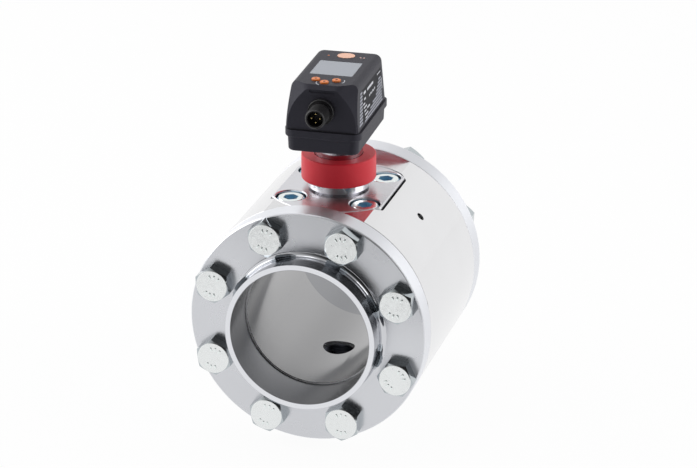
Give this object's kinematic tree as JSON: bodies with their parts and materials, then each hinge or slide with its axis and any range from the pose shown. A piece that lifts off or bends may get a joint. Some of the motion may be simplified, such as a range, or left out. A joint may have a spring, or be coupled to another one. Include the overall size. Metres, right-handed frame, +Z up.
{
  "type": "compressed air flow meter",
  "caption": "In-line flow meter for compressed air: round steel body between bolted weld-neck flanges, with a probe, a red union ring and a black display head on top.",
  "frame": {"origin": "centre of the inlet weld face, on the pipe axis", "axes": "+Y along the pipe with the flow, +Z up to the display head, +X to the right seen from the inlet"},
  "size_m": [0.14, 0.1586, 0.2087],
  "materials": {
    "body_steel": "polished stainless steel",
    "flange_steel": "turned stainless steel",
    "zinc_steel": "bright zinc plating",
    "plate_steel": "ground stainless steel",
    "stem_steel": "bright turned stainless steel",
    "collar_red": "satin moulded plastic",
    "head_black": "fine moulded texture",
    "seal_black": "moulded rubber",
    "window_clear": "clear pane",
    "display_grey": "blank display",
    "board_green": "lacquered board",
    "electronics_black": "moulded parts",
    "button_orange": "moulded buttons",
    "badge_orange": "plain domed badge",
    "lamp_clear": "frosted light guides",
    "pin_gold": "gold plated",
    "washer_copper": "soft copper",
    "probe_steel": "satin stainless steel"
  },
  "bodies": {
    "meter": {"meter_body": "body_steel", "inlet_flange": "flange_steel", "outlet_flange": "flange_steel", "inlet_bolts": "zinc_steel", "outlet_bolts": "zinc_steel", "inlet_seal": "seal_black", "outlet_seal": "seal_black", "sensor_plate": "plate_steel", "plate_screws": "zinc_steel", "plate_seal": "seal_black", "union_socket": "stem_steel", "union_ring": "collar_red", "sensor_stem": "stem_steel", "stem_seal": "seal_black", "probe_tube": "probe_steel", "probe_tip": "probe_steel", "probe_pins": "probe_steel", "port_plug": "zinc_steel", "port_washer": "washer_copper", "swivel_seal": "seal_black", "swivel_clip": "zinc_steel"},
    "head": {"head_base": "head_black", "base_gasket": "seal_black", "head_cover": "head_black", "base_screws": "zinc_steel", "display_window": "window_clear", "display_module": "display_grey", "display_board": "board_green", "main_board": "board_green", "board_header": "electronics_black", "board_screws": "zinc_steel", "status_leds": "electronics_black", "light_guides": "lamp_clear", "badge": "badge_orange", "tact_switches": "electronics_black", "connector_body": "head_black", "connector_insert": "electronics_black", "connector_pins": "pin_gold", "connector_nut": "zinc_steel", "connector_seal": "seal_black"},
    "button_left": {"button_left": "button_orange"},
    "button_middle": {"button_middle": "button_orange"},
    "button_right": {"button_right": "button_orange"}
  },
  "joints": [
    {"name": "head_swivel", "type": "hinge", "parent": "meter", "child": "head", "pos_m": [0, 0.0793, 0.0974], "axis": [0, 0, 1], "range_deg": [-170, 170]},
    {"name": "button_left_press", "type": "slide", "parent": "head", "child": "button_left", "axis": [0, 0, -1], "range_m": [0, 0.0006], "stiffness_N_per_m": 2500},
    {"name": "button_middle_press", "type": "slide", "parent": "head", "child": "button_middle", "axis": [0, 0, -1], "range_m": [0, 0.0006], "stiffness_N_per_m": 2500},
    {"name": "button_right_press", "type": "slide", "parent": "head", "child": "button_right", "axis": [0, 0, -1], "range_m": [0, 0.0006], "stiffness_N_per_m": 2500}
  ]
}
